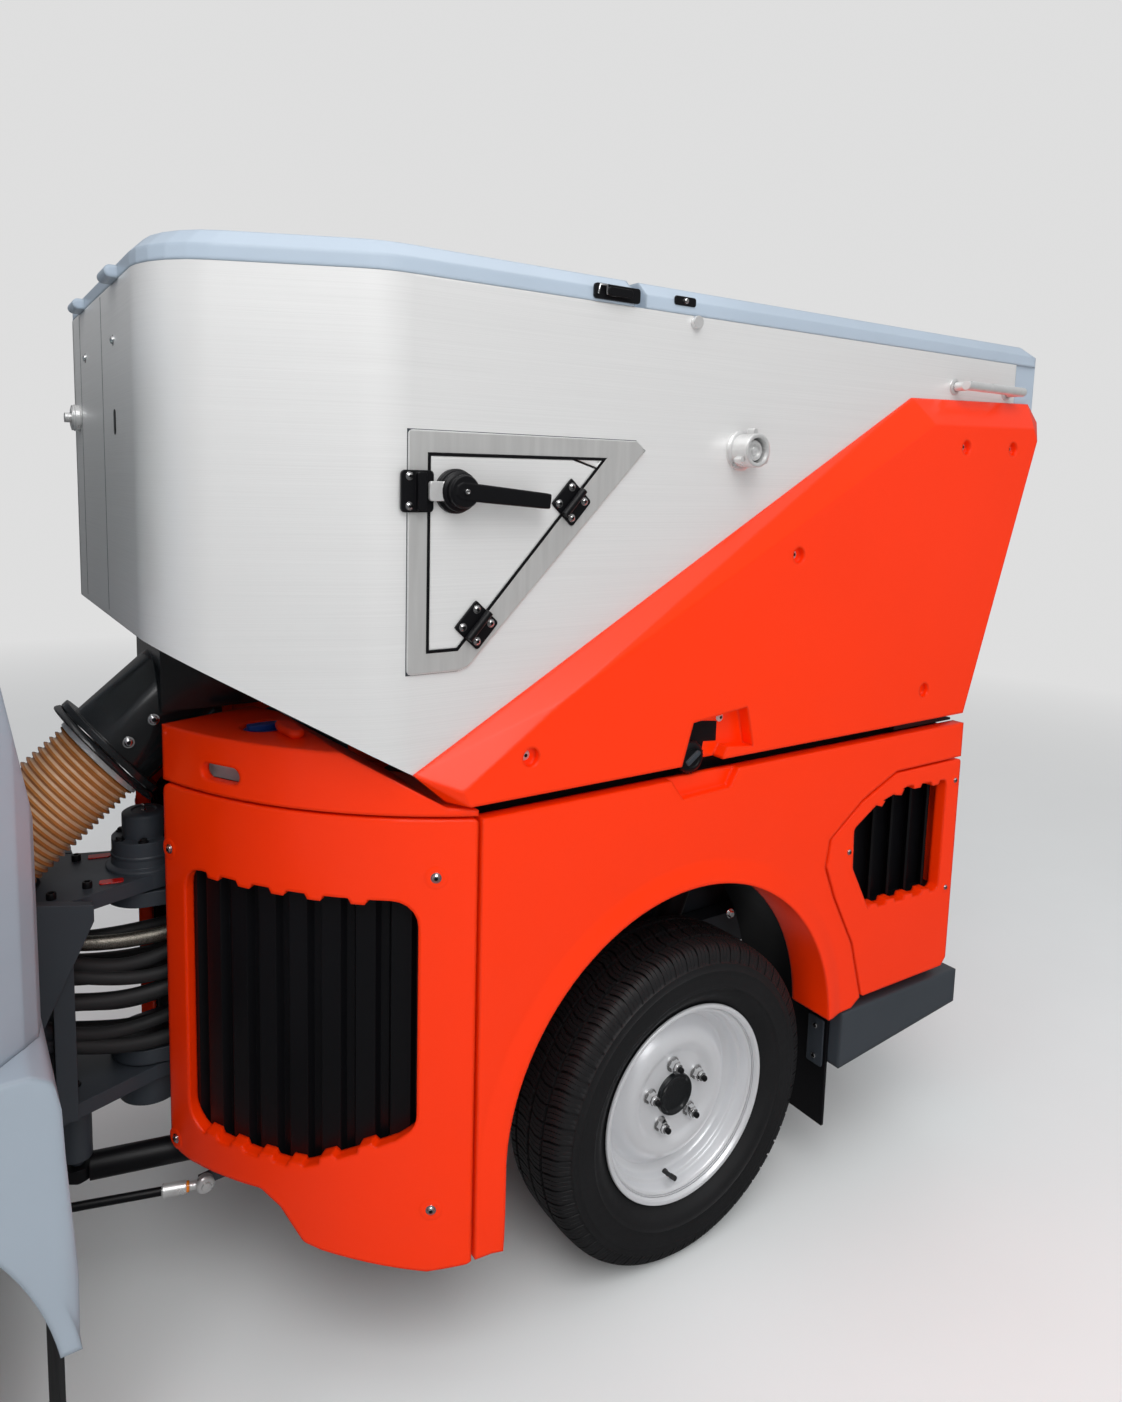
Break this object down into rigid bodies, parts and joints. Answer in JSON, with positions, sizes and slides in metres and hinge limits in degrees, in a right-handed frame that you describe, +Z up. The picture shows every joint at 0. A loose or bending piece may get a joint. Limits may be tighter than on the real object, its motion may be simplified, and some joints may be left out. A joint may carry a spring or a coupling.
{
  "type": "articulated street sweeper",
  "caption": "Compact articulated street sweeper with tipping stainless hopper, orange body panels, narrow cab, swinging side brushes and a suction mouth.",
  "frame": {"origin": "on the ground under the articulation pivot, the middle of the bounding box", "axes": "+X forward, +Y to the left side of the machine, +Z up"},
  "size_m": [4.26, 1.6598, 2.0534],
  "materials": {
    "orange_plastic": "satin moulded plastic",
    "grey_plastic": "satin moulded plastic",
    "dark_paint": "anthracite paint",
    "black_plastic": "black moulded plastic",
    "black_metal": "black paint",
    "stainless": "brushed stainless steel",
    "silver_paint": "silver paint",
    "bright_steel": "bright steel",
    "tyre_rubber": "tyre rubber",
    "rubber": "black rubber",
    "hose_plastic": "brown spiral hose",
    "glass": "lightly tinted glass",
    "red_lens": "red lens",
    "clear_lens": "clear lens over a reflector",
    "seat_fabric": "dark seat cover and trim"
  },
  "bodies": {
    "rear": {"rear_frame": "dark_paint", "rear_axle": "black_metal", "engine": "dark_paint", "side_panels": "orange_plastic", "corner_panels": "orange_plastic", "cowls": "orange_plastic", "rear_panels": "orange_plastic", "grilles": "black_plastic", "bumper": "dark_paint", "tail_lamps": "red_lens", "rear_liners": "black_plastic", "tip_barrels": "black_metal", "suction_hose": "hose_plastic", "hydraulic_hoses": "rubber"},
    "front": {"front_frame": "dark_paint", "front_axle": "black_metal", "cab_body": "grey_plastic", "cab_roof": "grey_plastic", "cab_mask": "orange_plastic", "cab_glass": "glass", "front_fenders": "grey_plastic", "front_mudflaps": "rubber", "cab_interior": "seat_fabric", "suction_duct": "black_plastic", "headlamps": "clear_lens", "mirrors": "black_plastic", "suction_mouth": "black_plastic"},
    "hopper": {"hopper_shell": "stainless", "hopper_covers": "orange_plastic", "inlet_pipe": "black_plastic", "hopper_fittings": "bright_steel"},
    "lid": {"front_lid": "grey_plastic"},
    "gate": {"tailgate": "grey_plastic"},
    "hatch": {"hatch_door": "stainless", "hatch_hardware": "black_plastic"},
    "tip_rod": {"tip_rods": "bright_steel"},
    "steer_tube": {"steer_barrel": "black_metal"},
    "steer_ram": {"steer_rod": "bright_steel"},
    "wheel_rear_left": {"tyre_rear_left": "tyre_rubber", "rim_rear_left": "silver_paint"},
    "wheel_rear_right": {"tyre_rear_right": "tyre_rubber", "rim_rear_right": "silver_paint"},
    "wheel_front_left": {"tyre_front_left": "tyre_rubber", "rim_front_left": "silver_paint"},
    "wheel_front_right": {"tyre_front_right": "tyre_rubber", "rim_front_right": "silver_paint"},
    "cab_door_left": {"door_left": "grey_plastic", "door_glass_left": "glass"},
    "cab_door_right": {"door_right": "grey_plastic", "door_glass_right": "glass"},
    "sweep_arm_left": {"brush_arm_left": "dark_paint"},
    "sweep_arm_right": {"brush_arm_right": "dark_paint"},
    "sweep_brush_left": {"brush_left": "black_plastic"},
    "sweep_brush_right": {"brush_right": "black_plastic"}
  },
  "joints": [
    {"name": "articulation", "type": "hinge", "parent": "rear", "child": "front", "pos_m": [0, 0, 0.7], "axis": [0, 0, 1], "range_deg": [-38, 38], "deforming": ["suction_hose", "hydraulic_hoses"]},
    {"name": "hopper_tip", "type": "hinge", "parent": "rear", "child": "hopper", "pos_m": [-1.805, 0, 1.118], "axis": [0, -1, 0], "range_deg": [0, 50]},
    {"name": "tip_rod_slide", "type": "slide", "parent": "rear", "child": "tip_rod", "axis": [-0.4041, 0, 0.9147], "range_m": [-0.01, 0.392]},
    {"name": "lid_hinge", "type": "hinge", "parent": "hopper", "child": "lid", "pos_m": [0.071, 0, 2.0135], "axis": [0, 1, 0], "range_deg": [0, 60]},
    {"name": "gate_hinge", "type": "hinge", "parent": "hopper", "child": "gate", "pos_m": [-0.785, 0, 2.025], "axis": [0, 1, 0], "range_deg": [0, 45]},
    {"name": "hatch_hinge", "type": "hinge", "parent": "hopper", "child": "hatch", "pos_m": [-0.631, 0.575, 1.64546], "axis": [-0.6755, 0, 0.7374], "range_deg": [0, 110]},
    {"name": "steer_tube_pivot", "type": "hinge", "parent": "front", "child": "steer_tube", "pos_m": [0.15, 0.06, 0.325], "axis": [0, 0, 1], "range_deg": [-38, 38]},
    {"name": "steer_ram_slide", "type": "slide", "parent": "steer_tube", "child": "steer_ram", "axis": [-0.975, 0.2224, 0], "range_m": [-0.13, 0.13]},
    {"name": "wheel_spin_rear_left", "type": "hinge", "parent": "rear", "child": "wheel_rear_left", "pos_m": [-0.985, 0.481, 0.357], "axis": [0, 1, 0], "continuous": true},
    {"name": "wheel_spin_rear_right", "type": "hinge", "parent": "rear", "child": "wheel_rear_right", "pos_m": [-0.985, -0.481, 0.357], "axis": [0, 1, 0], "continuous": true},
    {"name": "wheel_spin_front_left", "type": "hinge", "parent": "front", "child": "wheel_front_left", "pos_m": [0.705, 0.481, 0.357], "axis": [0, 1, 0], "continuous": true},
    {"name": "wheel_spin_front_right", "type": "hinge", "parent": "front", "child": "wheel_front_right", "pos_m": [0.705, -0.481, 0.357], "axis": [0, 1, 0], "continuous": true},
    {"name": "door_hinge_left", "type": "hinge", "parent": "front", "child": "cab_door_left", "pos_m": [0.4524, 0.6, 1], "axis": [0, 0, 1], "range_deg": [0, 70]},
    {"name": "door_hinge_right", "type": "hinge", "parent": "front", "child": "cab_door_right", "pos_m": [0.4524, -0.6, 1], "axis": [0, 0, -1], "range_deg": [0, 70]},
    {"name": "arm_swing_left", "type": "hinge", "parent": "front", "child": "sweep_arm_left", "pos_m": [1.29, 0.23, 0.41], "axis": [0, 0, 1], "range_deg": [0, 30]},
    {"name": "arm_swing_right", "type": "hinge", "parent": "front", "child": "sweep_arm_right", "pos_m": [1.29, -0.23, 0.41], "axis": [0, 0, -1], "range_deg": [0, 30]},
    {"name": "brush_spin_left", "type": "hinge", "parent": "sweep_arm_left", "child": "sweep_brush_left", "pos_m": [1.73, 0.43, 0.27], "axis": [0, 0, 1], "continuous": true},
    {"name": "brush_spin_right", "type": "hinge", "parent": "sweep_arm_right", "child": "sweep_brush_right", "pos_m": [1.73, -0.43, 0.27], "axis": [0, 0, 1], "continuous": true}
  ],
  "couplings": [
    {"joint": "tip_rod_slide", "follows": "hopper_tip", "m_per_rad": 0.43806},
    {"joint": "steer_tube_pivot", "follows": "articulation", "ratio": -0.77902},
    {"joint": "steer_ram_slide", "follows": "articulation", "m_per_rad": -0.08985}
  ]
}
